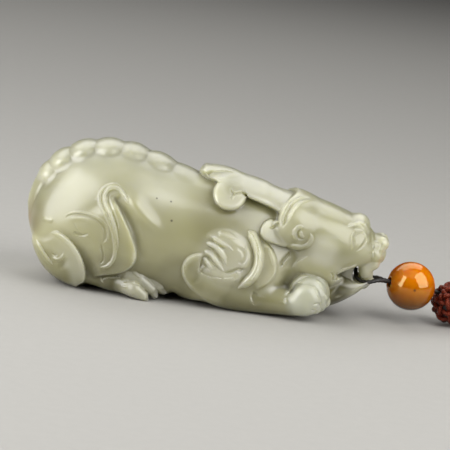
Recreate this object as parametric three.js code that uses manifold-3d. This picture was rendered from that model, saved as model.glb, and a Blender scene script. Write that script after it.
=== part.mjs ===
// Jade pixiu carving with its lanyard: the carved stone, a cord looped through the mouth and two beads.
// Millimetres, +Z up. While it is made, the rump is at X = 0, the nose near X = LENGTH and the
// middle plane at Y = 0. At the end the middle of the carving's base moves to the origin.
import * as THREE from 'three';
import { mergeVertices } from 'three/addons/utils/BufferGeometryUtils.js';
import Module from 'manifold-3d';

const wasm = await Module();
wasm.setup();

// Driving dimensions of the carving
const LENGTH = 70;              // from rump to nose
const REACH = 16;               // half width that every outline passes through
const LINE = 0.45;              // height of a raised line
const WING = 0.95;              // height of the shoulder wing
const CRESCENT = 1.1;           // height of the crescent in front of the wing
const CRESCENT_WIDTH = 1.5;
const BLADE = 0.75;             // height of the leaf in front of the crescent
const INNER_Y = 2.5;            // how near the middle plane the side outlines reach
const HORN = 1.75;              // height of the horn above the neck
const EAR = 1.2;                // height of the ruyi ear above the cheek
const CUT_WIDTH = 0.7;          // width of a cut line
const CUT_DEPTH = 0.5;          // depth of a cut line
const FLOOR_DEPTH = 6;          // thickness of what is ground off under the base
const FLANK_SCALE = { x: 38, along: 1.027, z: 16, down: 16.4, up: 0.985 };
const HEAD_SCALE = { x: 38, along: 1.02, lift: 0.1 };

// Driving dimensions of the lanyard
const CORD_RADIUS = 0.4;
const CORD_SIDES = 8;
const CORD_STEPS = 32;
const CORD_GAP = 0.3;
const AMBER_BORE = 1.2;         // radius of the amber's bore, which holds both strands of the loop
const AMBER_RADIUS = 4.7;
const BALL_RADIUS = 4.4;
const BALL_BORE = CORD_RADIUS + CORD_GAP;
const END_KNOT_RADIUS = 1.3;
const BEAD_STEPS = 10;
const BEAD_SIDES = 18;

// Large masses: half widths, half heights and middle heights at even steps along each span
const TRUNK = {
  span: [0.4, 61],
  wide: [18, 14.6, 11.6, 10.5, 9],
  high: [19.5, 16, 12.3, 12.9, 13],
  middle: [13.5, 13.2, 11.8, 10.4, 9.3],
};
const BELLY = { span: [25.5, 46], wide: [5.4], high: [5], middle: [4.6], side: 5.4 };
const HAUNCH = { span: [1, 22.4], wide: [7.2], high: [11], middle: [10.6], side: 5.8 };
const THIGH = { span: [4.5, 26.5], wide: [7.4], high: [11.4], middle: [10.6], side: 5.6 };
const SHOULDER = { span: [31, 51], wide: [5.7], high: [9.2], middle: [7.6], side: 5.6 };
const ELBOW = { span: [28.5, 49], wide: [6], high: [9.6], middle: [6.6], side: 5.6 };
const TAIL = { span: [0.4, 24], wide: [8.3], high: [12], middle: [10.4], side: 5.8 };
const RUMP = {
  span: [0, 61],
  wide: [18.4, 15, 12, 10.5, 9],
  high: [20, 16.4, 12.6, 12.9, 13],
  middle: [13.5, 13.2, 11.8, 10.4, 9.3],
};
const HEAD = {
  span: [46.5, 67],
  wide: [13, 10, 8.1, 7.3, 9.5],
  high: [8.3, 5.9, 4.7, 4.9, 7.2],
  middle: [17.5, 17.2, 16.8, 15.6, 14.4],
};
const MUZZLE = {
  span: [60, 69.4],
  wide: [6.8, 6.2, 5.4, 4.9, 4.7],
  high: [5, 4.4, 3.2, 3.4, 3.8],
  middle: [14.6, 14.2, 13.8, 13.5, 13.2],
};
const JAW = {
  span: [53, 67.6],
  wide: [6, 5.6, 5.2, 4.8, 4.6],
  high: [4.6, 4.4, 4, 2.7, 1.6],
  middle: [5.6, 4.8, 4.4, 5.2, 7.5],
};
const FOREARM = {
  span: [31.5, 57],
  wide: [3.2, 3.4, 3, 2.8, 2.8],
  high: [4, 3.8, 3, 3, 3],
  middle: [3.4, 3, 2.4, 2.2, 2.2],
  side: 8,
};
const FOOT = { span: [10, 24], wide: [2.8], high: [3], middle: [1.8], side: 7.5 };

// Single rounded forms: centre [x, distance from the middle plane, z], half sizes, tilt in degrees
const SPINE = [
  [[3.4, 0, 20], [2.1, 3.2, 1.85], 56],
  [[5.7, 0, 22.7], [2.7, 3.2, 1.85], 39],
  [[9.5, 0, 25], [3, 3.2, 1.85], 23],
  [[14.2, 0, 26.2], [3.1, 3.2, 1.85], 5],
  [[19.1, 0, 25.9], [3, 3.2, 1.85], -11],
  [[24.2, 0, 24.7], [3.1, 3.2, 1.85], -16],
  [[29.2, 0, 22.8], [2.9, 3.2, 1.85], -16],
];
const CHEST = [[52.5, 0, 6.5], [8, 6.5, 6.5], 0];
const TONGUE = [[60.2, 0, 9.4], [3.4, 3.6, 3.6], 0];
const FACE = [
  [[56.4, 4.2, 9.4], [5.6, 4.2, 4.1], -8],
  [[57.6, 3.6, 14.4], [6.6, 4.4, 3.4], -6],
  [[61.8, 4, 12.3], [3.8, 2.4, 2.2], 18],
  [[63.5, 2.9, 17.8], [2, 2.4, 1.9], -8],
  [[64, 5.2, 15.8], [1.2, 1, 1.7], -15],
  [[68, 2.1, 15.2], [1.6, 1.6, 1.5], 0],
  [[66.5, 3.4, 13.2], [1.8, 2, 2], 20],
  [[65.5, 3.2, 10.4], [1.5, 1.9, 2.1], 8],
  [[67, 2.4, 11.8], [1.7, 2.2, 2.6], -12],
];
const NOSE = [[67.3, 0, 15.5], [2.1, 2.6, 1.4], 0];
const LIP_POST = [[66.1, 0, 8.6], [1.4, 1.1, 3], 0];
const TOES = [
  [[56.1, 6.2, 4.5], [3.3, 2.6, 4.3], -12],
  [[55.5, 8.1, 4.4], [3.1, 2.3, 3.6], -12],
  [[54.9, 9.7, 4], [2.8, 2, 3], -12],
  [[26.4, 5.2, 3.5], [3.7, 1.9, 2.3], -42],
  [[24.6, 7.5, 2.7], [3.8, 1.8, 2.3], -40],
  [[22.6, 9.8, 1.8], [3.7, 1.7, 2], -28],
];

// Outlines on the flank, as seen from the side, each point [x, z]
const THIGH_OUTLINE = [
  [15.6, 20.4], [17.4, 20.2], [18.6, 17.4], [20.6, 12.4], [22, 8.4], [21, 5], [17.8, 3.4], [13.6, 2.4],
  [10, 5], [10, 14], [12.6, 18.6],
];
const ELBOW_OUTLINE = [
  [35.2, 10], [33.4, 10], [31.5, 8.2], [31.2, 6.6], [33.4, 2.8], [36.2, 1], [39.5, -1], [46, -1.5],
  [44, 4], [38, 8],
];
const WING_OUTLINE = [
  [35.6, 14.4], [39.6, 14.2], [43.2, 11.9], [43.9, 10.4], [42.6, 8.2], [42.9, 7.2], [41.2, 5.3],
  [38.6, 5.6], [34.2, 7], [34.4, 10.4], [34.8, 12.8],
];
const BLADE_OUTLINE = [
  [45.6, 14.2], [48.4, 10.9], [49.1, 9], [48.7, 7.2], [45.6, 4.9], [43.8, 4.3], [45.6, 8], [45.4, 12.2],
];
const TAIL_OUTLINE = [
  [3.9, 8], [4, 9.4], [4.9, 10.5], [6.4, 10.7], [8, 10.3], [10.6, 7.7], [12.5, 4.2], [12.9, 2.4],
  [11.8, -0.6], [4.6, -0.6], [3.2, 3.4],
];

// Outline of the tail's root on the rump, as seen from behind, each point [y, z], and how far in
// it reaches
const ROOT_OUTLINE = [
  [-4.2, -1], [4.2, -1], [4.2, 12], [3.2, 17], [1.2, 20], [-1.2, 20], [-3.2, 17], [-4.2, 12],
];
const ROOT_REACH = { start: -2, depth: 10 };

// Raised and cut lines on the flank
const THIGH_LINES = [
  [[14.9, 4.3], [17.7, 6], [17.3, 9.4], [15.5, 13.7], [13.6, 17.2], [14, 19.2], [16, 20.6]],
  [[18.2, 8.6], [17.2, 12.4], [15.3, 16.3], [14.8, 17.8], [15.4, 19.5], [17.2, 19.6]],
];
const CRESCENT_LINE = [[42.6, 15.8], [45, 12.4], [45.6, 10.2], [44.6, 6.3], [41.9, 4]];
const WING_CUTS = [
  [[34.2, 10.4], [35.8, 9.5], [37.6, 6.8]],
  [[34.3, 12], [36.4, 11], [38.8, 7.4]],
  [[35, 13.4], [37.6, 12.4], [40, 8.4]],
];
const TAIL_CUT = [[3.2, 8.1], [4.9, 5.7], [6, 4.5], [7.2, 4.2], [8.2, 4.7], [8.5, 5.8], [7.9, 6.8]];

// Outlines on the head, as seen from the side
const HORN_OUTLINE = [
  [32.8, 25], [32.6, 26.4], [33.2, 29], [40, 30], [49, 28], [49.6, 24], [48.6, 20], [46.5, 20.4],
  [44, 21.2], [41.4, 21.9], [37, 22.6], [34, 24.4],
];
const HORN_SCROLL = { centre: [38.2, 22], radius: 3.25 };
const EAR_OUTLINE = [
  [47.9, 17], [47, 18.2], [45.5, 17.6], [45, 16.2], [45.3, 14.9], [46.4, 14.1], [50.2, 13.7], [53, 13.2],
  [55, 13.9], [56, 16], [55, 20], [54, 24.5], [52.4, 25], [50.4, 23.8], [48.3, 20.6],
];
const MOUTH_OUTLINE = [
  [60.2, 8.2], [62.6, 10.2], [64, 10.6], [64.5, 10.2], [64.5, 9.2], [65.8, 8.4], [71, 8.6], [71, 7.9],
  [66.2, 7.5], [64.6, 7.2], [62, 7.5],
];

// Route of the cord: from inside the amber back into the mouth, up round behind the lips, out again,
// through both beads and on to its end knot
const CORD_ROUTE = [
  [73.9, 1.1, 7.35],
  [70.8, 0.25, 7.8],
  [68.6, -1.3, 8.2],
  [66.8, -2.1, 8],
  [65.3, -2.2, 8.1],
  [64.2, -1.8, 8.7],
  [63.9, -1, 9.3],
  [63.85, 0, 9.5],
  [63.9, 1, 9.3],
  [64.2, 1.8, 8.7],
  [65.3, 2.2, 8.1],
  [66.8, 2.1, 8],
  [68.6, 1.7, 8.1],
  [70.5, 1.25, 7.75],
  [75, 2.45, 7.25],
  [77.4, 2.8, 7],
  [79.7, 3.3, 6.75],
  [84, 4.5, 4.45],
  [87.9, 5.6, 2.3],
  [89.6, 6.1, 1.55],
];
const LANYARD_SWING = 15.7;     // degrees that the lanyard swings away to the far side
const AMBER_AT = [75.15, 2, 7.2];
const AMBER_FALL = 5;           // degrees that the bead's bore falls towards the end of the lanyard
const BALL_AT = [84, 4.5, 4.45];
const BALL_FALL = 28;

function profile(values, share) {
  if (values.length === 1) {
    return values[0];
  }
  const line = new THREE.SplineCurve(values.map((value, i) => new THREE.Vector2(i, value)));
  return line.getPoint(share).y;
}

// A closed geometry, its vertices shared, as a solid that can be joined and cut
function solid(geometry) {
  const bare = new THREE.BufferGeometry();
  bare.setAttribute('position', geometry.getAttribute('position').clone());
  if (geometry.index) {
    bare.setIndex(geometry.index.clone());
  }
  const merged = mergeVertices(bare, 1e-5);
  const vertProperties = new Float32Array(merged.getAttribute('position').array);
  const triVerts = new Uint32Array(merged.index.array);
  return new wasm.Manifold(new wasm.Mesh({ numProp: 3, vertProperties, triVerts }));
}

// The same shape on the other side of the middle plane, its triangles turned to face out again
function mirrored(geometry) {
  const copy = geometry.clone().scale(1, -1, 1);
  const count = copy.getAttribute('position').count;
  const index = copy.index ? [...copy.index.array] : [...Array(count).keys()];
  for (let i = 0; i < index.length; i += 3) {
    [index[i], index[i + 1]] = [index[i + 1], index[i]];
  }
  return copy.setIndex(index);
}

function bothSides(geometry) {
  return solid(geometry).add(solid(mirrored(geometry)));
}

// A sphere drawn out along X, shaped by smooth profiles from end to end and grown all round
function massGeometry({ span, wide, high, middle, side = 0 }, grow, around, along) {
  const centre = (span[0] + span[1]) / 2;
  const half = (span[1] - span[0]) / 2 + grow;
  const geometry = new THREE.SphereGeometry(1, around, along).rotateZ(-Math.PI / 2);
  const position = geometry.getAttribute('position');
  for (let i = 0; i < position.count; i++) {
    const share = (THREE.MathUtils.clamp(position.getX(i), -1, 1) + 1) / 2;
    const x = centre + half * position.getX(i);
    const y = -side + (profile(wide, share) + grow) * position.getY(i);
    const z = profile(middle, share) + (profile(high, share) + grow) * position.getZ(i);
    position.setXYZ(i, x, y, z);
  }
  return geometry;
}

function singleMass(form, grow = 0, around = 16, along = 12) {
  return solid(massGeometry(form, grow, around, along));
}

function pairOfMasses(form, grow = 0, around = 12, along = 9) {
  return bothSides(massGeometry(form, grow, around, along));
}

function eggGeometry([[x, side, z], radii, tilt], around = 8, along = 5) {
  return new THREE.SphereGeometry(1, around, along)
    .rotateZ(-Math.PI / 2)
    .scale(...radii)
    .rotateY(-THREE.MathUtils.degToRad(tilt))
    .translate(x, -side, z);
}

// The trunk with belly, haunches and shoulders, grown all round by the same amount
function bodyShell(grow) {
  return singleMass(TRUNK, grow, 20, 18)
    .add(pairOfMasses(BELLY, grow, 10, 7))
    .add(pairOfMasses(HAUNCH, grow))
    .add(pairOfMasses(SHOULDER, grow));
}

function headShell(grow) {
  return singleMass(HEAD, grow, 14, 10);
}

// The flank stands nearer to the eye than the middle plane, so what is drawn on it looks 2.7 per cent
// larger, and the head's sides 2 per cent
function onFlank([x, z]) {
  const { x: pivot, along, z: level, down, up } = FLANK_SCALE;
  return [pivot + (x - pivot) / along, down + (z - level) * up];
}

function onHead([x, z]) {
  const { x: pivot, along, lift } = HEAD_SCALE;
  return [pivot + (x - pivot) / along, z + lift];
}

function smoothLoop(points, samples) {
  const knots = points.map(([x, z]) => new THREE.Vector3(x, z, 0));
  const curve = new THREE.CatmullRomCurve3(knots, true, 'catmullrom');
  return curve.getPoints(samples).slice(0, -1).map((p) => new THREE.Vector2(p.x, p.y));
}

function circle({ centre, radius }, samples = 14) {
  const [x, z] = onHead(centre);
  return new THREE.EllipseCurve(x, z, radius, radius).getPoints(samples).slice(0, -1);
}

// The outline of a line of even width with narrow ends
function band(points, width, samples = 7) {
  const curve = new THREE.SplineCurve(points.map(([x, z]) => new THREE.Vector2(x, z)));
  const left = [];
  const right = [];
  for (let i = 0; i <= samples; i++) {
    const share = i / samples;
    const at = curve.getPoint(share);
    const along = curve.getTangent(share);
    const half = (width / 2) * Math.min(1, 0.3 + 5 * Math.min(share, 1 - share));
    left.push(new THREE.Vector2(at.x - along.y * half, at.y + along.x * half));
    right.unshift(new THREE.Vector2(at.x + along.y * half, at.y - along.x * half));
  }
  return [...left, ...right];
}

// An outline of the side view as a prism across the carving, from one y to another
function prismGeometry(outline, fromY, toY) {
  const options = { depth: toY - fromY, bevelEnabled: false };
  return new THREE.ExtrudeGeometry(new THREE.Shape(outline), options)
    .rotateX(Math.PI / 2)
    .translate(0, toY, 0);
}

function sidePrisms(outline, innerY = INNER_Y) {
  return bothSides(prismGeometry(outline, -REACH, -innerY));
}

function throughPrism(outline) {
  return solid(prismGeometry(outline, -REACH, REACH));
}

function flankPatch(points, samples, innerY) {
  return sidePrisms(smoothLoop(points.map(onFlank), samples), innerY);
}

function flankLine(points, width, samples, innerY) {
  return sidePrisms(band(points.map(onFlank), width, samples), innerY);
}

function addHaunch(body) {
  const thigh = flankPatch(THIGH_OUTLINE, 16);
  let carved = body.add(pairOfMasses(THIGH).intersect(thigh));
  const lineShell = bodyShell(LINE).add(pairOfMasses(THIGH, LINE).intersect(thigh));
  for (const line of THIGH_LINES) {
    carved = carved.add(flankLine(line, 2 * LINE).intersect(lineShell));
  }
  return carved;
}

function addShoulder(body) {
  const elbow = flankPatch(ELBOW_OUTLINE, 14).intersect(pairOfMasses(ELBOW));
  const wing = flankPatch(WING_OUTLINE, 16).intersect(bodyShell(WING));
  let cuts = flankLine(WING_CUTS[0], CUT_WIDTH, 4, 6);
  for (const cut of WING_CUTS.slice(1)) {
    cuts = cuts.add(flankLine(cut, CUT_WIDTH, 4, 6));
  }
  const lockedWing = wing.subtract(cuts.subtract(bodyShell(WING - CUT_DEPTH)));
  const blade = flankPatch(BLADE_OUTLINE, 12).intersect(bodyShell(BLADE));
  const crescent = flankLine(CRESCENT_LINE, CRESCENT_WIDTH).intersect(bodyShell(CRESCENT));
  return body.add(elbow).add(lockedWing).add(blade).add(crescent);
}

function addTail(body) {
  const curl = flankPatch(TAIL_OUTLINE, 16, 3).intersect(pairOfMasses(TAIL));
  const cut = flankLine(TAIL_CUT, CUT_WIDTH, 9, 4).subtract(pairOfMasses(TAIL, -CUT_DEPTH));
  const rootShape = new THREE.Shape(ROOT_OUTLINE.map(([y, z]) => new THREE.Vector2(y, z)));
  const strip = new THREE.ExtrudeGeometry(rootShape, { depth: ROOT_REACH.depth, bevelEnabled: false })
    .rotateX(Math.PI / 2)
    .rotateZ(Math.PI / 2)
    .translate(ROOT_REACH.start, 0, 0);
  const root = solid(strip).intersect(singleMass(RUMP, 0, 16, 14));
  return body.add(root).add(curl).subtract(cut);
}

function addHead(body) {
  let head = body.add(headShell(0)).add(singleMass(MUZZLE, 0, 14, 8));
  for (const form of FACE) {
    head = head.add(bothSides(eggGeometry(form)));
  }
  head = head.add(singleMass(JAW, 0, 14, 9));
  head = head.add(solid(eggGeometry(NOSE)));
  head = head.subtract(throughPrism(smoothLoop(MOUTH_OUTLINE, 18)));
  return head.add(solid(eggGeometry(TONGUE))).add(solid(eggGeometry(LIP_POST)));
}

function addHornAndEars(body) {
  const slab = throughPrism(smoothLoop(HORN_OUTLINE.map(onHead), 20));
  const hornShape = slab.add(throughPrism(circle(HORN_SCROLL)));
  const horn = hornShape.intersect(bodyShell(HORN).add(headShell(HORN)));
  const earShape = sidePrisms(smoothLoop(EAR_OUTLINE.map(onHead), 22));
  const earShell = bodyShell(EAR).add(singleMass({ ...HEAD, span: [46.5, 63] }, EAR, 14, 10));
  return body.add(horn).add(earShape.intersect(earShell));
}

function cordGeometry(radius) {
  const route = new THREE.CatmullRomCurve3(CORD_ROUTE.map((p) => new THREE.Vector3(...p)));
  const section = new THREE.EllipseCurve(0, 0, radius, radius).getPoints(CORD_SIDES).slice(0, -1);
  return new THREE.ExtrudeGeometry(new THREE.Shape(section), { steps: CORD_STEPS, extrudePath: route });
}

function makeJade() {
  let body = addHaunch(bodyShell(0));
  body = addShoulder(body);
  for (const lobe of SPINE) {
    body = body.add(solid(eggGeometry(lobe, 10, 7)));
  }
  body = addTail(body);
  body = body.add(solid(eggGeometry(CHEST, 10, 8)));
  body = addHead(body);
  body = addHornAndEars(body);
  body = body.add(pairOfMasses(FOREARM, 0, 10, 8)).add(pairOfMasses(FOOT, 0, 8, 6));
  for (const toe of TOES) {
    body = body.add(bothSides(eggGeometry(toe)));
  }
  body = body.subtract(solid(cordGeometry(CORD_RADIUS + CORD_GAP)));
  const ground = new THREE.BoxGeometry(2 * LENGTH, 3 * REACH, FLOOR_DEPTH);
  return body.subtract(solid(ground.translate(LENGTH / 2, 0, -FLOOR_DEPTH / 2)));
}

function makeCord() {
  const end = CORD_ROUTE[CORD_ROUTE.length - 1];
  const knot = new THREE.SphereGeometry(END_KNOT_RADIUS, 10, 7).translate(...end);
  return solid(cordGeometry(CORD_RADIUS)).add(solid(knot));
}

// A ball turned about its bore, which is then laid along the cord
function beadGeometry(radius, boreRadius, fall, at) {
  const halfBore = Math.sqrt(radius ** 2 - boreRadius ** 2);
  const start = Math.atan2(-halfBore, boreRadius);
  const profilePoints = [];
  for (let i = 0; i <= BEAD_STEPS; i++) {
    const angle = THREE.MathUtils.lerp(start, -start, i / BEAD_STEPS);
    profilePoints.push(new THREE.Vector2(radius * Math.cos(angle), radius * Math.sin(angle)));
  }
  profilePoints.push(profilePoints[0].clone());
  return new THREE.LatheGeometry(profilePoints, BEAD_SIDES)
    .rotateZ(-Math.PI / 2)
    .rotateY(THREE.MathUtils.degToRad(fall))
    .rotateZ(THREE.MathUtils.degToRad(LANYARD_SWING))
    .translate(...at);
}

function geometryOf(manifold) {
  const mesh = manifold.getMesh();
  const geometry = new THREE.BufferGeometry();
  geometry.setAttribute('position', new THREE.BufferAttribute(mesh.vertProperties, 3));
  geometry.setIndex(new THREE.BufferAttribute(mesh.triVerts, 1));
  return geometry;
}

const jade = geometryOf(makeJade());
const pieces = [
  ['jade_pixiu', jade, '#c9c8b0', 0.25],
  ['lanyard_cord', geometryOf(makeCord()), '#171310', 0.8],
  ['amber_bead', beadGeometry(AMBER_RADIUS, AMBER_BORE, AMBER_FALL, AMBER_AT), '#d98a1a', 0.2],
  ['knot_bead', beadGeometry(BALL_RADIUS, BALL_BORE, BALL_FALL, BALL_AT), '#4a1f18', 0.6],
];

jade.computeBoundingBox();
const middle = jade.boundingBox.getCenter(new THREE.Vector3());
const group = new THREE.Group();
for (const [name, geometry, color, roughness] of pieces) {
  geometry.translate(-middle.x, -middle.y, -jade.boundingBox.min.z);
  const material = new THREE.MeshStandardMaterial({ color, roughness, metalness: 0 });
  const mesh = new THREE.Mesh(geometry, material);
  mesh.name = name;
  group.add(mesh);
}

export default group;
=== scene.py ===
# %% [markdown]
# # A jade pixiu on its lanyard
# A pixiu is a winged guardian animal with one horn. This one is a hand piece: a river pebble of pale
# nephrite, ground with hard grit until the animal lies folded inside the pebble's old outline, and then
# polished until it looks wet. A black cord goes through its open mouth and carries an amber bead and a
# ball knotted from thin brown cord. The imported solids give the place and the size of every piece.

# %% Load the frame
import math

import bpy
import numpy as np
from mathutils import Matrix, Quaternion, Vector


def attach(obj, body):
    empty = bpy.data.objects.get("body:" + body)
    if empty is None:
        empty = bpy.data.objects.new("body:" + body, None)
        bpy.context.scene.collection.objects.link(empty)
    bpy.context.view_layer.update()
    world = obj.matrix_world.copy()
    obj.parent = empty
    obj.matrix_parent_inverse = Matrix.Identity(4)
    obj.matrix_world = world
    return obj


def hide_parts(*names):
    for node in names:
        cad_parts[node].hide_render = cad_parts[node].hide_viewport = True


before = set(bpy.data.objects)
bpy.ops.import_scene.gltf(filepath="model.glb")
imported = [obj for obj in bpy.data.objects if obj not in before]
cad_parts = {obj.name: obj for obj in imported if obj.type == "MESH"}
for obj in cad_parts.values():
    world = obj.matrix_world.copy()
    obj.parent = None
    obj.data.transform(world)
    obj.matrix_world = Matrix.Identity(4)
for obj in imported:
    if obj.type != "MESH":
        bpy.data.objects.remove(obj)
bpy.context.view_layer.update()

# %% [markdown]
# ## Lengths
# The carving is drawn in millimetres with its rump at zero, as a carver measures a stone, and the frame
# has its zero under the middle of the base. One function takes every piece from the first to the second.

# %% From the stone's own millimetres to the frame
MM = 0.001
MIDDLE = 34.8


def to_frame(points):
    """Moves points from the rump's zero to the base's middle, and from millimetres to metres."""
    return (np.asarray(points, float) - (MIDDLE, 0, 0)) * MM


print("nose in the frame:", to_frame((69.6, 0, 16)))

# %% [markdown]
# ## Camera
# The stone was looked at from its right side, a little from above, through a long lens, and the camera
# was tilted about its own line of sight. The camera comes first, because the cord must fit its view.

# %% Camera
SIGHT = 0.45
ELEVATION, ROLL = math.radians(11), math.radians(8)
TARGET = Vector((0.00323, 0, 0.0144))


def aimed(name, data, place, target, roll=0.0):
    """An object whose own -Z axis looks from its place to the target, rolled about that line."""
    thing = bpy.data.objects.new(name, data)
    bpy.context.scene.collection.objects.link(thing)
    thing.location = place
    thing.rotation_mode = "QUATERNION"
    turn = (Vector(target) - Vector(place)).to_track_quat("-Z", "Y")
    thing.rotation_quaternion = turn @ Quaternion((0, 0, 1), roll)
    return thing


lens = bpy.data.cameras.new("long_lens")
lens.lens, lens.sensor_width, lens.clip_start = 188, 36, 0.01
eye = TARGET + SIGHT * Vector((0, -math.cos(ELEVATION), math.sin(ELEVATION)))
bpy.context.scene.camera = aimed("camera", lens, eye, TARGET, ROLL)
print("camera at", tuple(round(c, 3) for c in eye))

# %% [markdown]
# ## Surfaces from whole arrays
# Every new piece is a grid of points worked out at once with numpy. A tube is a ring carried along a
# path: the ring stands square to the path, and its first arm is kept from turning more than it must.

# %% Smooth paths, grids and tubes
def cubic(before, start, end, after, t):
    """From start to end as t goes from 0 to 1. At both it runs parallel to the line past its neighbours."""
    a, b, rise = (end - before) / 2, (after - start) / 2, end - start
    return start + a * t + (3 * rise - 2 * a - b) * t**2 + (a + b - 2 * rise) * t**3


def smooth_path(points, closed=False, steps=8):
    """A cubic from each point to the next, in that many steps."""
    p = np.asarray(points, float)
    if closed:
        p = np.concatenate([p[-1:], p, p[:2]])
    else:
        p = np.concatenate([2 * p[:1] - p[1:2], p, 2 * p[-1:] - p[-2:-1]])
    t = np.linspace(0, 1, steps, endpoint=False)[None, :, None]
    curve = cubic(*(p[i:len(p) - 3 + i, None] for i in range(4)), t).reshape(-1, p.shape[1])
    return curve if closed else np.concatenate([curve, p[-2:-1]])


def mesh_piece(name, points, faces, uv=None, body="root"):
    """A smooth-shaded piece from points in the stone's millimetres, riding on the one body."""
    mesh = bpy.data.meshes.new(name)
    mesh.from_pydata(to_frame(points).tolist(), [], faces)
    mesh.shade_smooth()
    if uv is not None:
        mesh.uv_layers.new(name="UVMap").data.foreach_set("uv", np.ravel(uv).astype(np.float32))
    piece = bpy.data.objects.new(name, mesh)
    bpy.context.scene.collection.objects.link(piece)
    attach(piece, body)
    return piece


def grid_faces(rows, columns, closed_rows=False):
    """Quads between neighbouring points of a grid whose columns close into rings."""
    r = np.arange(rows if closed_rows else rows - 1)[:, None]
    c = np.arange(columns)[None, :]
    nr, nc = (r + 1) % rows, (c + 1) % columns
    corners = [r * columns + c, r * columns + nc, nr * columns + nc, nr * columns + c]
    return np.stack(corners, -1).reshape(-1, 4).tolist()


def unit(v):
    """Each vector over its own length."""
    return v / np.maximum(np.linalg.norm(v, axis=-1, keepdims=True), 1e-12)


def path_frames(path, closed=False):
    """Direction of a path at each point, and an arm square to it that turns as little as it can."""
    ahead = np.roll(path, -1, 0) - np.roll(path, 1, 0)
    if not closed:
        ahead[0], ahead[-1] = path[1] - path[0], path[-1] - path[-2]
    ahead = unit(ahead)
    arm = np.zeros_like(path)
    arm[0] = unit(np.cross(ahead[0], (0.31, 0.17, 0.94)))
    for i in range(1, len(path)):
        arm[i] = unit(arm[i - 1] - ahead[i] * (arm[i - 1] @ ahead[i]))
    return ahead, arm


PLY_DEPTH = 0.22


def tube(path, radius, sides, closed=False, plies=0, lay=1.0):
    """Points, faces and UVs of a tube: the path plus a ring of that radius, square to it. Plies make the
    ring a flower that turns once over each lay, as the strands of a twisted cord do. U goes once round
    and V is the length in millimetres."""
    ahead, arm = path_frames(path, closed)
    side = np.cross(ahead, arm)
    steps = np.linalg.norm(np.diff(path, axis=0, append=path[:1]), axis=1)
    run = np.concatenate([[0], np.cumsum(steps)])
    angle = np.linspace(0, 2 * np.pi, sides, endpoint=False)[None, :]
    flower = np.abs(np.cos(plies / 2 * (angle - 2 * np.pi * run[:-1, None] / lay)))
    radius = radius * (1 - PLY_DEPTH * (1 - flower) * (plies > 0))
    ring = arm[:, None] * np.cos(angle)[..., None] + side[:, None] * np.sin(angle)[..., None]
    points = (path[:, None] + radius[..., None] * ring).reshape(-1, 3)
    rows = len(path) if closed else len(path) - 1
    faces = grid_faces(len(path), sides, closed)
    r, c = (g.ravel() for g in np.meshgrid(np.arange(rows), np.arange(sides), indexing="ij"))
    corners = ((0, 0), (1, 0), (1, 1), (0, 1))
    uv = np.stack([np.stack([(c + i) / sides, run[r + j]], 1) for i, j in corners], 1).reshape(-1, 2)
    if not closed:
        last = (len(path) - 1) * sides
        faces += [list(range(sides))[::-1], list(range(last, last + sides))]
        uv = np.concatenate([uv, np.zeros((2 * sides, 2))])
    return points, faces, uv


# %% [markdown]
# ## The lanyard's cord
# The real cord is waxed thread, 0.8 mm thick. It starts in the amber, runs back into the mouth, climbs
# round behind the lips, comes out on the other side and goes through both beads to a small end knot.
# It could be a curve with a bevel, but a tube of our own can also carry the twist of its three strands.

# %% Cord
CORD_RADIUS = 0.4
ROUTE = [
    (73.9, 1.1, 7.35), (70.8, 0.25, 7.8), (68.6, -1.4, 8.1), (66.9, -2.2, 7.75), (65.5, -2.3, 7.65),
    (64.35, -2.1, 8.3), (64.05, -1.2, 9.05), (64.1, 0, 9.4), (64.05, 1.2, 9.05), (64.35, 2.1, 8.3),
    (65.5, 2.3, 7.65), (66.9, 2.2, 7.75), (68.6, 1.8, 8), (70.5, 1.25, 7.75), (75, 2.45, 7.25),
    (77.4, 2.8, 7), (79.7, 3.3, 6.75), (84, 4.5, 4.45), (87.9, 5.6, 2.3), (89.6, 6.1, 1.55),
]
route = smooth_path(ROUTE, steps=12)
cord = mesh_piece("cord", *tube(route, CORD_RADIUS, 18, plies=3, lay=2.6))
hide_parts("lanyard_cord")

# %% [markdown]
# ## How the stone is carved here
# A carver takes stone away from one block, so the carving has no parts to join. It could be modelled
# with subdivision surfaces, but then each melting crease would need its own loops. Here the stone is one
# distance field instead: a number for every point in space, below zero inside the stone. Adding and
# cutting forms is then the smaller or larger of two numbers, and a soft crease is a soft choice.

# %% Forms that melt together
def melt(a, b, width):
    """Both forms as one, the crease between them filled up over about that width."""
    share = np.clip(0.5 + 0.5 * (b - a) / width, 0, 1)
    return b * (1 - share) + a * share - width * share * (1 - share)


def trim(a, b, width):
    """What lies in both forms, the edge between them rounded over about that width."""
    return -melt(-a, -b, width)


def along(values, t):
    """A smooth line through evenly spaced values, read at t from 0 to 1."""
    v = np.asarray(values, np.float32)
    if len(v) == 1:
        return v[0]
    f = np.clip(t, 0, 1) * (len(v) - 1)
    i = np.minimum(f.astype(int), len(v) - 2)
    f = f - i
    return cubic(v[np.maximum(i - 1, 0)], v[i], v[i + 1], v[np.minimum(i + 2, len(v) - 1)], f)


def oval(dx, dy, dz, rx, ry, rz):
    """Roughly the distance to an oval of those half widths, from its centre."""
    near = np.sqrt((dx / rx) ** 2 + (dy / ry) ** 2 + (dz / rz) ** 2) + 1e-6
    slope = np.sqrt((dx / rx**2) ** 2 + (dy / ry**2) ** 2 + (dz / rz**2) ** 2) + 1e-6
    return near * (near - 1) / slope


def bulk(p, span, wide, high, middle, side=0.0):
    """An oval drawn out over a span of X. Its half width, half height and middle height change on the
    way along smooth lines. A place p is its X, its distance s from the middle plane, and its height."""
    x, s, z = p
    centre, half = (span[0] + span[1]) / 2, (span[1] - span[0]) / 2
    t = (x - span[0]) / (2 * half)
    return oval(x - centre, s - side, z - along(middle, t), half, along(wide, t), along(high, t))


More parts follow.
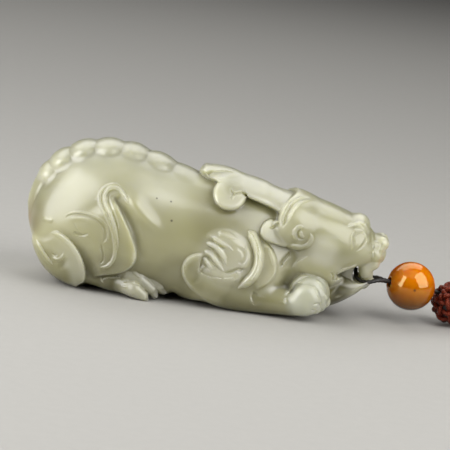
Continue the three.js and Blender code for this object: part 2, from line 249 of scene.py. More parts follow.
def egg(p, at, radii, tilt=0.0):
    """An oval at a point, its nose tilted up by some degrees."""
    x, s, z = p
    dx, dz = x - at[0], z - at[2]
    c, n = math.cos(math.radians(tilt)), math.sin(math.radians(tilt))
    return oval(dx * c + dz * n, s - at[1], dz * c - dx * n, *radii)


def limb(p, points, radii):
    """The distance to a bent rod whose radius changes evenly from point to point."""
    x, s, z = p
    best = np.float32(1e3)
    for a, b, ra, rb in zip(points[:-1], points[1:], radii[:-1], radii[1:]):
        dx, dy, dz = (float(e - f) for e, f in zip(b, a))
        t = ((x - a[0]) * dx + (s - a[1]) * dy + (z - a[2]) * dz) / (dx * dx + dy * dy + dz * dz)
        t = np.clip(t, 0, 1)
        gap = np.sqrt((x - a[0] - t * dx) ** 2 + (s - a[1] - t * dy) ** 2 + (z - a[2] - t * dz) ** 2)
        best = np.minimum(best, gap - ra - (rb - ra) * t)
    return best


print("an egg is 0 on its skin:", float(egg((2.0, 0, 0), (0, 0, 0), (2, 1, 1))))

# %% [markdown]
# ## The drawing on the side
# A carver first draws the side view on the stone, then sinks and raises the surface along the lines. The
# same is done here: every line becomes a map of heights on a fine sheet, in millimetres, and each point
# of the stone looks up its height where its line of sight meets the sheet. Both sides get one drawing.
# A line is a text of points, as in a drawing file: how far from the rump and how high, in millimetres.

# %% Sheet, strokes and patches
GRAIN = 0.1
SHEET_U = np.arange(-2, 73, GRAIN)
SHEET_V = np.arange(-2, 32, GRAIN)
UU, VV = (g.astype(np.float32) for g in np.meshgrid(SHEET_U, SHEET_V, indexing="ij"))
EYE_AWAY, TILT_COS, TILT_SIN = 450, 0.98, 0.19
AIM_X, AIM_Z, SHEET_MIDDLE = 38, 14.2, 16.1


def seen(p):
    """Where the line of sight through a place meets the sheet: what is nearer looks larger and lower."""
    x, s, z = p
    larger = EYE_AWAY / (EYE_AWAY - TILT_COS * s)
    return AIM_X + larger * (x - AIM_X), SHEET_MIDDLE + larger * (TILT_COS * z - TILT_SIN * s - AIM_Z)


def read(sheet, u, v):
    """The sheet's value between its four nearest points."""
    a = np.clip((u - SHEET_U[0]) / GRAIN, 0, len(SHEET_U) - 1.01)
    b = np.clip((v - SHEET_V[0]) / GRAIN, 0, len(SHEET_V) - 1.01)
    i, j = a.astype(int), b.astype(int)
    a, b = a - i, b - j
    low = sheet[i, j] * (1 - a) + sheet[i + 1, j] * a
    return low * (1 - b) + (sheet[i, j + 1] * (1 - a) + sheet[i + 1, j + 1] * a) * b


def ease(t):
    """0 before 0, 1 after 1, and a smooth rise between."""
    t = np.clip(t, 0, 1)
    return t * t * (3 - 2 * t)


def pairs(text):
    """The points of a line from its text, where each is written as across,up."""
    return np.array([pair.split(",") for pair in text.split()], float)


def line_map(path, reach=3.0):
    """Each point's distance to a line, up to a reach, and how far along the line its nearest point is."""
    low = ((path.min(0) - reach - (SHEET_U[0], SHEET_V[0])) / GRAIN).astype(int)
    high = ((path.max(0) + reach - (SHEET_U[0], SHEET_V[0])) / GRAIN).astype(int)
    part = tuple(slice(max(a, 0), max(b, 1)) for a, b in zip(low, high))
    u, v = UU[part], VV[part]
    run = np.concatenate([[0], np.cumsum(np.linalg.norm(np.diff(path, axis=0), axis=1))])
    best, place = np.full(u.shape, reach**2, np.float32), np.zeros(u.shape, np.float32)
    for i in range(len(path) - 1):
        a, d = path[i], path[i + 1] - path[i]
        t = np.clip(((u - a[0]) * d[0] + (v - a[1]) * d[1]) / max(d @ d, 1e-9), 0, 1)
        gap = (u - a[0] - t * d[0]) ** 2 + (v - a[1] - t * d[1]) ** 2
        nearer = gap < best
        best = np.where(nearer, gap, best)
        place = np.where(nearer, (run[i] + t * (run[i + 1] - run[i])) / run[-1], place)
    distance, share = np.full(UU.shape, reach, np.float32), np.zeros(UU.shape, np.float32)
    distance[part], share[part] = np.sqrt(best), place
    return distance, share


def patch_map(points, reach=3.0):
    """The distance to a closed outline, below zero inside it."""
    path = smooth_path(pairs(points), closed=True)
    loop = np.concatenate([path, path[:1]])
    inside = np.zeros(UU.shape, bool)
    for a, b in zip(loop[:-1], loop[1:]):
        if a[1] != b[1]:
            crosses = (a[1] > VV) != (b[1] > VV)
            inside ^= crosses & (UU < a[0] + (VV - a[1]) * (b[0] - a[0]) / (b[1] - a[1]))
    distance, _ = line_map(loop, reach)
    return np.where(inside, -distance, distance)


def ends(share, taper):
    """1 along a line, easing to 0 at its ends over a share of its length, or over one for each end."""
    first, last = taper if isinstance(taper, tuple) else (taper, taper)
    return ease(share / first) * ease((1 - share) / last)


def ridge(points, half_width, height, taper=0.15):
    """A round bead along a line, thinner at its ends."""
    distance, share = line_map(smooth_path(pairs(points)))
    body = ends(share, taper) ** 0.5
    width = np.maximum(half_width * body, 1e-3)
    return height * body * np.clip(1 - (distance / width) ** 2, 0, 1) ** 0.75


def groove(points, half_width, depth, taper=0.15):
    """The same bead sunk instead of raised."""
    return -ridge(points, half_width, depth, taper)


def swell(points, half_width, height, taper=0.3):
    """A soft fold along a line that dies away to both sides as a bell curve does."""
    distance, share = line_map(smooth_path(pairs(points)), 3.2 * half_width)
    return height * np.exp(-((distance / half_width) ** 2)) * ends(share, taper)


LEDGE_REACH = 9.0


def ledge(line, area, height, reach, edge=0.25, taper=0.1):
    """A step along a line: full height at the line, dying away over the reach on the area's side."""
    distance, share = line_map(smooth_path(pairs(line)), LEDGE_REACH)
    inside = patch_map(area, 0.2) < 0
    depth = np.where(inside, distance, -distance)
    fall = np.exp(-np.maximum(depth, 0) / reach)
    return height * ease(0.5 + depth / (2 * edge)) * fall * ends(share, taper)


def pad(outline, height, edge=0.3):
    """A flat patch of that height with a rounded edge."""
    return height * ease(0.5 - patch_map(outline) / (2 * edge))


def disc(u, v, radius):
    """A round patch: the distance to its middle, less its radius."""
    return np.hypot(UU - u, VV - v) - radius


print("sheet:", UU.shape, "points")

# %% [markdown]
# ## Lines of the haunch
# On the haunch the carver cut a long arch that opens into the hollow in front of the thigh. The knee
# stands over that hollow with a sharp edge, a ring of mane lies on the haunch, and a loose fold of skin
# runs from the arch down the flank. The tail comes down behind and its tip rolls in over its own band.

# %% Haunch and tail drawing
KNEE = ("15.8,18.6 16.5,17.7 17.7,16.1 19,14.1 20.2,12.1 21.2,10.2 21.9,8.3 21.9,6.7 21.1,5.3 19.8,4.3 "
    "18,3.6 15.8,3.1 13.6,2.4")
HAUNCH = sum([
    ledge(KNEE, KNEE + " 8,3 6,10 9,17 14,19", 1.2, 3.5, 0.22, (0.12, 0.1)),
    ridge("15.2,4.5 16.8,5.1 17.7,6.6 17.8,8.4 17.4,10 16.9,11.6 16,13.3 15,14.9 14,16.4 13.5,17.6 13.5,18.8 "
        "14.1,19.8 15.1,20.5 16.4,20.8 17.6,20.4", 0.36, 0.3, 0.1),
    ridge("18.3,7.4 18.1,9.4 17.6,11.3 16.7,13.6 15.7,15.4 14.8,16.9 14.4,18 14.6,19.2 15.4,20 16.5,20.2 "
        "17.5,19.7 18.3,18.7 19.2,17.3", 0.38, 0.42, (0.3, 0.12)),
    groove("15.4,19 15.3,17.8 16.2,16 17.2,14 18,12", 0.3, 0.2),
    -swell("16.3,19 16.9,17.8 18.4,16 20.4,13.4 22,10 23,6.6", 0.95, 0.75, (0.1, 0.35)),
    swell("18.2,20.6 19.8,18.4 21.8,16.2 24.2,14.2 26.8,12.2", 1.3, 0.8, (0.35, 0.45)),
    groove("7.3,12.9 8.6,13.8 10.6,14.1 12.8,13.8 14.4,13 15.4,11.7 15.6,10.3 15.1,9.1", 0.3, 0.17),
    ridge("7.4,13.5 8.8,14.3 10.8,14.6 13,14.3 14.8,13.4 15.9,11.9 16.1,10.3 15.6,9", 0.28, 0.15),
    swell("8,12.8 9.4,13.3 11.2,13.5 13.2,13", 0.5, 0.16),
    groove("15.1,9.1 15.2,8.2 15.6,7.1 15.7,6 15.1,5.2", 0.28, 0.18),
    groove("9.4,10.7 10.2,10.3 11.2,10.3 12.3,10.7", 0.28, 0.14),
    swell("3,12.5 4.1,12.3 5.4,12.2", 0.35, 0.2),
])
TAIL = sum([
    -pad("-3,12.5 2,12 4.7,11 4.6,9.4 2.6,8.6 0,8.8 -3,9", 0.8, 1.4),
    -swell("2.6,8.9 3.3,7.6 4.3,6.3 5.4,5.2 6.4,4.4 7.4,4.1", 0.6, 0.2, (0.3, 0.25)),
    -swell("7.2,3.9 8.2,3.9 8.6,4.8 8.4,5.7", 0.55, 0.2, 0.3),
    ridge("5.7,5.3 6.4,4.9 7.3,5 7.9,5.6 8,6.4", 0.4, 0.25, (0.2, 0.3)),
    groove("5.9,6.2 6.4,5.8 7,5.9", 0.3, 0.18),
    ridge("2.3,8.4 3,7.2 4.1,5.8 5.2,4.6 6.5,3.5", 0.5, 0.3, 0.3),
    ridge("4.9,9.9 6.2,9.9 7.5,9.4 9.2,8.2 10.6,6.6 11.7,4.8 12.2,2.8", 0.5, 0.14),
])
TAIL_CURL = patch_map("-2,10.6 1.5,10.6 3.4,10.3 4.9,10.3 6.2,10.3 7.5,9.8 9,8.9 10.4,7.5 11.5,6 12.4,4.2 "
    "12.8,2.4 12.6,1.1 11.8,0.4 11.2,-1.5 6,-2 -1,-2 -2,4")
print("haunch: from", round(float(HAUNCH.min()), 2), "to", round(float(HAUNCH.max()), 2), "mm")

# %% [markdown]
# ## Lines of the shoulder
# A small wing lies on the shoulder: locks of feathers, with a cut between each two, that roll into two curls.
# Two crescents of mane stand in front of it, the first one the sharpest line on the whole side, and under
# them the elbow swells out over the belly. Where wing and crescent cross, the higher of the two wins.

# %% Shoulder drawing
CRESCENT = "42.7,15.8 43.8,14.4 44.7,12.8 45.3,11 45.4,9.2 44.9,7.4 43.9,5.9 42.1,4.1"
BLADE = "45.2,14 46.6,13.4 47.8,12.4 48.6,10.9 49,9 48.6,7.2 47.2,5.6 45.2,4.3"
ELBOW = "35.2,9.7 34.2,9.9 32.7,9.4 31.5,8.2 31.1,6.5 31.8,4.7 33.6,2.8 36.4,1.1 39.5,-0.4"
HOOK = "45.3,4.3 44.9,3.3 45.2,2.4 46,1.4"
LOCKS = [  # each feather's line, half width and height
    ("36.9,14.4 38.8,14.2 41,13.5", 0.55, 0.3),
    ("35.8,13.5 37.4,12.7 39.2,12 40.4,11.2", 0.5, 0.5),
    ("34.9,12.1 36.5,11.8 37.9,10.9 38.9,9.6 39.5,8.2", 0.62, 0.6),
    ("34.6,10.4 35.8,10.2 37.2,9.1 38.3,7.9 39.2,7", 0.58, 0.55),
    ("34.8,9.3 35.9,8.3 36.9,7", 0.5, 0.5),
]
CUTS = [
    "35.6,12.9 37.2,12.2 39,11.3",
    "34.6,11.4 36.4,11.1 37.7,9.9 38.8,8.2",
    "34.4,9.9 36,9.3 37.3,8.1 38.7,6.9",
    "34.7,8.4 35.8,7.5 36.6,6.6",
]
WING = sum([
    pad("35.6,13.6 37.6,14.4 39.6,14.3 41.6,13.3 43.2,11.9 43.8,10.4 43.5,9.1 42.4,8.1 42.5,7.2 42.3,6.1 "
        "41.2,5.2 38.6,5.4 36.2,6.4 35.6,7.6 36,8.8 36.4,10.2 36.4,12 36.2,13", 0.65, 1.1),
    *(ridge(lock, wide, high, (0.15, 0.6)) for lock, wide, high in LOCKS),
    *(groove(cut, 0.3, 0.28, (0.05, 0.5)) for cut in CUTS),
    ridge("42.4,12.7 43.3,11.4 43.5,10.2 43.1,9.1 42.3,8.4", 0.4, 0.2),
    groove("41,12.2 42.2,11.5 42.6,10.4 42.2,9.5 41.4,9.2", 0.5, 0.18),
    groove("38.9,6.9 40.1,7.2 41.3,7.8 42.6,8.1", 0.35, 0.4, (0.3, 0.02)),
    ridge("41.3,7.6 42,7.1 42.1,6.2 41.5,5.5", 0.34, 0.2),
])
BLADE_LEAF = ledge(BLADE, BLADE + " 43.6,5 44,9", 0.75, 2.4, 0.25, (0.15, 0.12))
BLADE_AREA = "41,3 45.2,3.9 49.6,7 49.4,12 45.2,14.6 44.4,13.2 45.3,11.2 45.4,9 44.9,7.2 43.8,5.8"
SHOULDER = np.maximum(WING, ridge(CRESCENT, 0.95, 1.25, (0.12, 0.2))) + sum([
    groove(CRESCENT, 0.22, 0.16, (0.2, 0.3)),
    np.where(patch_map(BLADE_AREA, 0.2) < 0, BLADE_LEAF, 0),
    ridge("46.9,13 47.5,11.9 48.2,10.4 48.4,9.2", 0.42, 0.18, 0.3),
    ledge(ELBOW, ELBOW + " 46,-1 44,4 38,8", 0.8, 3.5, 0.3, 0.1),
    ridge("34.2,6.4 34.7,7.2 35.2,8", 0.35, 0.3, 0.3),
    -swell("34.6,6.4 33.9,5.2 34.2,3.9", 0.8, 0.22),
    -ledge(HOOK, HOOK + " 49,1 51,4 49,6 46.8,5.2", 0.75, 2.6, 0.25, (0.15, 0.2)),
    ridge("44.8,3 45.1,2.2 45.8,1.5", 0.3, 0.25, 0.3),
    -swell("48.6,3.6 50.3,5 51,7.6 50.6,9.6", 1.2, 0.55),
    groove("49.7,9.6 50,10.9 50.8,12 51.3,12.6", 0.4, 0.3),
    ridge("50.2,9.8 50.5,10.9 51.2,11.9", 0.4, 0.2),
])
print("shoulder: from", round(float(SHOULDER.min()), 2), "to", round(float(SHOULDER.max()), 2), "mm")

# %% [markdown]
# ## Horn, ears, face and paws
# The horn lies flat along the neck and ends in a scroll. The ear is a flat plate shaped like the head of
# a ruyi sceptre, two round lobes under a long rim. The face has a ridged brow over a round eye, a broad
# nose with small round studs, and an open mouth whose upper lip hangs down in a lobe.

# %% Outlines of horn, ear and mouth
HORN = patch_map("32.4,25.6 32.3,26.4 32.8,27.4 35.5,28.6 40,29 50,28 52,25 51,22 49.5,20.2 48.2,19.7 "
    "46.5,20.4 44,21.2 42,21.7 40.6,22.3 37,22.6 35.6,23.9 33.8,24.9", 4)
EAR_LEAF = patch_map("47.9,16.9 47.9,18.6 48.3,20.6 49.3,22.4 50.4,23.8 52,26 58,26 62,20 60,14 57,13.4 "
    "55,13.9 53,13.2 51.2,13.3 50.2,13.7 49,14.5", 6)
EAR_ROLL = patch_map("47.9,17 47.4,18 46.5,18.3 45.5,17.6 45,16.2 45.3,14.9 46.4,14.1 48.2,13.7 50.3,13.6 "
    "50.5,15.5 49.3,17", 6)
HORN = np.minimum(np.minimum(HORN, disc(38.2, 22.1, 3.2)), disc(40.9, 22.6, 0.8))
EAR = np.minimum(np.minimum(EAR_LEAF, EAR_ROLL), disc(47.7, 17.3, 1.0))
MOUTH_HOLE = patch_map("63.9,11.2 64.3,11.6 64.65,11.3 64.55,10.4 64.7,9.8 65.3,9.3 66,9.3 67,9.75 68.4,10.4 "
    "71,10.6 71,9 68.4,9 67,8.7 65.9,8.35 64.8,8.35 64,8.7 63.65,9.4 63.7,10.3")
MOUTH_POCKET = patch_map("60.7,9.9 61.8,10.6 63.4,11.3 64.4,11.7 64.6,10.6 64.4,9.6 64.2,8.5 63.2,8.85 "
    "62,9.15 60.9,9.4")
print("horn:", int((HORN < 0).sum()), "points of the sheet, ear:", int((EAR < 0).sum()))

# %% Head and paw drawing
HORN_LINES = sum([
    groove("41.4,22 40.7,22.5 39.8,22.4 39,22.1 38.4,22.6 38.1,23.4", 0.34, 0.4, (0.05, 0.3)),
    groove("39,22.1 38.6,21.5 38.7,20.9", 0.3, 0.25, (0.05, 0.4)),
    groove("33,25.4 34.6,25.3 36.4,25.7 38.4,26.2", 0.7, 0.45, (0.2, 0.5)),
])
EAR_LINES = sum([
    groove("48.2,17.9 47.7,17.2 47,16.7 46.5,16.9", 0.3, 0.28, (0.1, 0.3)),
    ridge("47.6,18.2 47.2,17.6 46.6,17.4", 0.3, 0.15, (0.2, 0.3)),
    groove("52.6,24.3 51.4,23.7 50.1,22.5 49.2,21 48.7,19.2 48.6,17.4", 0.3, 0.22),
    groove("54.6,23.7 53,23.4 51.4,22.7 50.2,21.5 49.5,19.9 49.3,18.4 48.9,17", 0.36, 0.36),
    ridge("55,23.4 53.2,23.1 51.8,22.4 50.7,21.2 50,19.6 49.8,18.2", 0.4, 0.25),
    ridge("53,17.8 52,17.6 51.4,16.8 51.5,15.8 52.1,15.1", 0.36, 0.2),
    groove("52.7,17.3 52.1,16.8 52.1,16 52.6,15.5 53.4,15.5", 0.34, 0.24),
    ridge("52.6,16.8 52.8,16.1 53.3,15.7", 0.3, 0.2),
    ridge("50.8,14 52.2,13.7 53.6,13.9 54.6,14.7 54.8,15.8 54.3,16.8", 0.55, 0.32, (0.2, 0.3)),
    groove("53,13.1 54.4,13.5 55.3,14.4 55.5,15.7 54.9,17", 0.45, 0.24, (0.1, 0.5)),
])
JOWL = "51.8,8.6 51.9,9.7 52.5,10.8 53.6,11.7 55.2,12.3"
NOSE_DOTS = "66.75,15.85 67.95,15.7 66.95,14.35 68.3,16.8"
FACE_LINES = sum([
    ridge("61.2,18.9 62,19.5 63.2,19.7 64.4,19.3", 0.34, 0.26, 0.3),
    ridge("62.3,19.9 63.3,20.2 64.4,20 65,19.4", 0.34, 0.24, 0.3),
    ridge("62.4,18.2 63.2,18.7 64.1,18.6 64.8,18 65.3,17.1", 0.3, 0.16, (0.2, 0.3)),
    ridge("62.9,18.4 62.4,17.5 62.4,16.5 62.7,15.5 62.5,14.4", 0.3, 0.16, (0.2, 0.3)),
    groove("64.6,18.2 63.9,18.3 63.2,17.9 62.8,17.1 62.9,16 63,15", 0.28, 0.14, (0.1, 0.3)),
    groove("65,17.6 65,16.7 64.5,15.6 63.6,14.5", 0.3, 0.15, (0.2, 0.3)),
    groove("65.6,18.8 65.8,17.9 66,16.9 65.8,15.9", 0.45, 0.14, (0.3, 0.4)),
    *(swell(f"{u - 0.1},{v} {u + 0.1},{v}", 0.5, 0.26) for u, v in pairs(NOSE_DOTS)),
    ridge("60.6,9.9 61.8,10.6 63.2,11.3 64.3,12.1", 0.34, 0.22, 0.3),
    ledge(JOWL, JOWL + " 57,11 57,8 54,7.4", 0.3, 1.6, 0.25, 0.4),
    groove("59.4,9.9 60,9.2 59.9,8.3", 0.3, 0.3),
    groove("60.3,10 60.9,9.2 60.5,8.4", 0.28, 0.3),
    -swell("60.4,6.7 61.2,6.1 61.8,5.1", 1.2, 0.3, (0.3, 0.4)),
])
PAW_LINES = sum([
    ridge("52.2,5.9 52.9,7.2 54,8.2 55.2,8.6", 0.3, 0.2, 0.3),
    ridge("56.7,8.1 57.6,7.6 58.3,6.8 58.6,6", 0.3, 0.22, 0.3),
    ridge("56.3,6.9 57,6.3 57.6,5.4 57.9,4.6", 0.28, 0.22, 0.3),
    ridge("58.8,5.6 59.3,5.1 59.6,4.4", 0.3, 0.2, 0.3),
    groove("52,4.4 52.6,5.6 53.4,6.5 54.5,7.1", 0.35, 0.28, (0.2, 0.3)),
    groove("57,3.2 57.8,3.6 58.5,3.5", 0.25, 0.2),
    groove("56.7,2.2 57.4,2.2 58,2", 0.22, 0.18),
    ridge("51.3,4.3 51.7,4.9 52.3,5.1", 0.28, 0.3, 0.3),
    ridge("51.8,2.6 51.5,3.2 51.7,3.8", 0.28, 0.3, 0.3),
    groove("16.4,1.8 16.1,2.5 16.8,3 18,3.2 19.4,3.3", 0.3, 0.25, (0.2, 0.4)),
    ridge("20,2.9 20.6,2.7 21.2,3", 0.3, 0.25, 0.3),
    ridge("19.9,1.8 20.5,1.6 21.2,1.8", 0.3, 0.2, 0.3),
    ridge("21.6,4.7 22.5,4.3 23.4,3.7", 0.35, 0.22, 0.3),
    ridge("21.8,2.9 22.7,2.6 23.6,2.1", 0.3, 0.2, 0.3),
])
print("head and paws drawn")

# %% [markdown]
# ## The outline underneath
# Before any carving the block is sawn to its outline. Here the outline matters underneath, where rump,
# heel, belly, paws and jaw rise and fall.

# %% Outline drawing
OUTLINE = patch_map("-3,16 -0.4,14.4 0.2,12 0.95,9.5 1.85,7.2 3,5.1 4.4,3.3 6,2 7.8,1.1 9.6,0.5 11.4,0.15 "
    "12.8,0.95 14.5,0.9 16.5,0.3 18.5,-0.4 20.5,-0.9 22.8,-1.3 24.6,-1.2 26.2,-0.8 27.6,0 28.8,1.2 30,1.8 "
    "31.5,1.15 33.5,0.8 36,0.85 38.5,0.3 41.5,-0.15 46,-0.2 50,0.1 54.5,0.4 56.5,0.8 58.2,1.5 60,2.7 62,3.9 "
    "64,5.3 66,7 68,8.4 73,12 73,32 -3,32")
print("outline drawn")

# %% [markdown]
# ## The forms of the body
# The large forms are ovals drawn out along the stone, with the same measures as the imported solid. Smaller
# ovals are melted onto them one after another, as a modeller adds clay. The drawing then lifts and sinks
# their skin, and fades out towards the spine, where both sides meet.

# %% Trunk, head and spine
TRUNK_MIDDLE = [13.5, 13.2, 11.8, 10.4, 9.3]
SPINE = [
    ((1.5, 19.3), (3.4, 22.1)), ((3.1, 22.2), (6.6, 25.2)), ((6.6, 25.3), (11.4, 27.3)),
    ((11.4, 27.2), (16.8, 27.7)), ((16.8, 27.6), (21.9, 26.6)), ((21.9, 26.6), (27.1, 25.1)),
    ((27.1, 24.7), (31.5, 22.8)),
]
LOBE_SINK, LOBE_OVERLAP = 1.3, 0.45


def melted(p, body, eggs):
    """A body with ovals melted onto it. A row is an oval's place, half widths and tilt, and its crease."""
    for at, radii, tilt, crease in eggs:
        body = melt(body, egg(p, at, radii, tilt), crease)
    return body


def trunk_form(p):
    """Rump, flanks and chest as one drawn-out oval, with the shoulder's bulge on it."""
    trunk = bulk(p, (0.4, 61), [13, 14.3, 11.6, 10.5, 9], [19.5, 16, 12.3, 12.9, 13], TRUNK_MIDDLE)
    return melt(trunk, bulk(p, (25.5, 46), [5.4], [5], [4.6], 5.4), 2.5)


def head_form(p):
    """The skull from the neck to the brow, and the flat of the temple."""
    skull = bulk(p, (46.5, 67), [13, 10, 8.1, 7.3, 9.5], [8.3, 5.9, 4.7, 4.9, 7.2],
                 [17.5, 17.2, 16.8, 15.6, 14.4])
    return melted(p, skull, [((57.6, 3.6, 14.9), (6.6, 4.4, 2.9), -6, 2)])


def spine_lobes(p, body):
    """Seven oval lobes in a row along the back, each tilted as the back is there. Their creases stay
    narrow, but all of them run softly down into the flanks."""
    row = np.float32(1e3)
    for start, end in SPINE:
        run, rise = end[0] - start[0], end[1] - start[1]
        length = math.hypot(run, rise)
        at = ((start[0] + end[0]) / 2 + LOBE_SINK * rise / length, 0,
              (start[1] + end[1]) / 2 - LOBE_SINK * run / length)
        tilt = math.degrees(math.atan2(rise, run))
        row = melt(row, egg(p, at, (length / 2 + LOBE_OVERLAP, 5, 1.9), tilt), 0.2)
    return melt(body, row, 1.4)


print("the head's middle lies", round(-float(head_form((56.0, 0.0, 16.0))), 1), "mm under its skin")

# %% Face, horn and ears
CHEEKS = [((57.3, 2.6, 15.4), (8, 5.5, 4.5), -6, 2.2), ((56.4, 4, 9.6), (5.4, 4.2, 3.7), -8, 3.4)]
FACE = [
    ((61.6, 3.6, 12.5), (4.2, 2.9, 2.4), 12, 1.8),     # upper lip's root
    ((63.3, 0, 18.35), (2.2, 3.8, 1.95), 0, 0.5),      # brow
    ((63.3, 3.3, 17.6), (1.8, 2.2, 1.7), -8, 0.8),     # brow over the eye
    ((63.9, 4.9, 15.8), (1.2, 0.8, 1.7), -15, 0.6),    # eyeball
    ((67.2, 0, 15.2), (2.3, 2.9, 1.6), 0, 0.5),        # nose
    ((68.1, 1.9, 15.45), (1.45, 1.6, 1.35), 0, 0.5),   # nose tip's side
    ((66.8, 3.4, 15.2), (0.8, 0.7, 0.7), 0, 0.6),      # wing of the nose
    ((68, 3, 14.7), (0.7, 0.6, 0.6), 0, 0.5),          # edge of the nostril
    ((67.1, 2.9, 13.4), (1.4, 1.75, 1.6), 15, 0.6),    # upper lip in front
    ((66.9, 2.4, 11.5), (1.4, 1.8, 1.3), -12, 0.5),    # lip's edge
    ((65.6, 2.9, 10.7), (1.35, 1.6, 2.3), 8, 0.8),     # lobe of the lip
]


def face_part(p, body, u, v):
    """Cheek, muzzle, brow, nose and lips, then the jaw, the mouth cut through, and what is in it."""
    x, s, z = p
    muzzle = bulk(p, (60, 69.4), [6.8, 6.2, 5.4, 4.9, 4.7], [5, 4.4, 3.2, 3.2, 3.6],
                  [14.6, 14.2, 13.8, 13.5, 13.2])
    head = melted(p, melt(melted(p, head_form(p), CHEEKS), muzzle, 1.2), FACE)
    jaw = bulk(p, (53, 67.8), [6, 5.6, 5.4, 5.2, 5.2], [4.6, 4.3, 3.55, 2.5, 2],
               [5.6, 5, 5.45, 6.45, 8.2])
    body = melt(melt(body, head, 0.8), jaw, 0.8)
    body = body - read(FACE_LINES, u, v) * ease((s - 1) / 1.5)
    lips = seen((x, 4.5, z))
    tongue = trim(trim(s - 3.4, x - 63.8, 0.4), np.maximum(np.abs(z - 9.4) - 3, 58 - x), 0.3)
    body = melt(body, tongue, 0.3)
    body = trim(body, -np.maximum(read(MOUTH_POCKET, *lips), 3.2 - s), 0.5)
    body = trim(body, -read(MOUTH_HOLE, *lips), 0.15)
    return melt(body, egg(p, (66.1, 0, 8.6), (1.4, 1.1, 3)), 0.2)


def horn_and_ears(p, body, trunk, u, v, side):
    """Plates raised over the neck and the head, inside their outlines on the sheet. The horn's plate
    sinks away towards its root, and the ear's towards its rim in front."""
    x, _, z = p
    head = head_form(p)
    plate = 2.0 * (1 - ease((x - 44.5) / 6.5))
    tip = egg(p, (36.2, 0, 24), (4.4, 4.2, 1.75), -4)
    horn = melt(trim(melt(trunk, head, 1.5) - plate, read(HORN, u, v), 1), tip, 0.5)
    body = melt(body, horn - read(HORN_LINES, u, v), 0.3)
    plate = 1.25 * (1 - 0.97 * ease((x - 50.5) / 6)) * (1 - 0.35 * ease((z - 21) / 3))
    ear = trim(melt(head, trunk, 0.8) - plate, read(EAR, u, v), 0.45)
    return melt(body, ear - read(EAR_LINES, u, v) * side, 0.3)


print("ovals on the head:", len(CHEEKS) + len(FACE))

# %% Paws, tail and the whole stone
FRONT_TOES = [  # toe's place and half widths, claw's place and half widths
    ((55.5, 7.1, 4.8), (4, 2.7, 4.3), (58.6, 6.9, 3.9), (1.2, 1, 1.5)),
    ((55.5, 8.7, 4.5), (3.4, 2.2, 3.8), (58.1, 8.3, 3), (1, 0.9, 1.2)),
    ((55, 10.1, 4.1), (2.9, 1.8, 3.1), (57.3, 9.7, 2.5), (0.9, 0.8, 1)),
]
HIND_TOES = [
    ([(21, 8, 5.6), (24.3, 8.2, 4.5), (27.2, 8.1, 2.7), (28.5, 7.9, 1.6)], [2, 1.7, 1.4, 0.8]),
    ([(20.5, 9.2, 4.6), (23.3, 9.3, 3.6), (25.9, 9.1, 2), (26.8, 9, 0.8)], [1.9, 1.65, 1.15, 0.6]),
    ([(19, 8.8, 2.7), (22.7, 10.6, 1.9), (24.6, 10.8, 0.9), (25.3, 10.9, 0.1)], [1.8, 1.6, 1, 0.5]),
]
BORE = ROUTE[7:12] + [(68.6, 1.6, 8)]
BORE_RADIUS = 0.55


def front_paws(p, body):
    """A bent forearm, then three toes that overlap like fish scales, each with a blunt claw. The outer
    toe grows out of the forearm's edge."""
    forearm = limb(p, [(36, 7.6, 3.4), (46, 8, 2.6), (53, 8.6, 2.8)], [3.6, 2.7, 2.6])
    body = melt(body, forearm, 1.6)
    toes = [melt(egg(p, at, radii, -12), egg(p, claw_at, claw_radii, 20), 0.2)
            for at, radii, claw_at, claw_radii in FRONT_TOES]
    toes[-1] = melt(toes[-1], limb(p, [(49, 8.2, 2.6), (54.5, 9.2, 2.9)], [2.5, 1.9]), 1.4)
    for toe in toes:
        body = melt(body, toe, 0.15)
    return body


def hind_part(p, body, u, v):
    """The tail's root over the rump, the paw and the tail's curl on the haunch."""
    x, s, z = p
    rump = bulk(p, (0, 61), [13.4, 14.7, 12, 10.5, 9], [20, 16.4, 12.6, 12.9, 13], TRUNK_MIDDLE)
    root = trim(trim(rump, s - 4.2, 0.5), np.maximum(x - 8, z - 20), 1)
    body = melt(body, root, 0.3)
    body = melt(body, limb(p, [(13, 7.8, 3.8), (17, 8, 3), (21, 8.6, 2.6)], [2.7, 2.6, 2.2]), 0.6)
    for points, radii in HIND_TOES:
        body = melt(body, limb(p, points, radii), 0.15)
    curl = trim(bulk(p, (1.2, 25), [5.6, 8, 8.2], [11.8], [10.3], 5.2), read(TAIL_CURL, u, v), 0.5)
    curl = trim(curl - read(TAIL, u, v), 2.0 - s, 0.5)
    body = melt(body, curl, 0.25) - read(PAW_LINES, u, v) * ease((s - 6) / 1.5)
    return trim(body, read(OUTLINE, u, v), 1)


def stone(points):
    """The whole carving as one distance field, cut flat underneath and bored for the cord."""
    x, y, z = (points[..., i] for i in range(3))
    s = np.abs(y)
    p = (x, s, z)
    u, v = seen(p)
    side = ease((s - 2.5) / 4)
    trunk = trunk_form(p)
    body = melt(trunk, bulk(p, (2.2, 24), [7.2], [11], [10.6], 4.6), 3)
    body = melt(body, bulk(p, (31, 51), [5.7], [9.2], [7.6], 5.6), 1.5)
    body = melt(body, egg(p, (52.5, 0, 6.5), (8, 6.5, 6.5)), 2)
    body = body - side * (read(HAUNCH, u, v) + read(SHOULDER, u, v))
    body = face_part(p, spine_lobes(p, body), u, v)
    body = horn_and_ears(p, body, trunk, u, v, side)
    body = hind_part(p, front_paws(p, body), u, v)
    body = trim(body, -limb(p, BORE, [BORE_RADIUS] * len(BORE)), 0.1)
    return trim(body, -z, 0.3)


print("the middle of the trunk lies", round(-float(stone(np.array([30.0, 0, 12]))), 1), "mm under its skin")

# %% [markdown]
# ## A skin over the field
# Where the field changes sign between two neighbouring grid points, the skin passes. Each grid cell that
# it passes through gets one point, the mean of its crossings, and each crossed edge joins its four cells
# with a quad. The points then slide along the field's slope onto the skin itself, which sharpens lines
# that are finer than the grid.

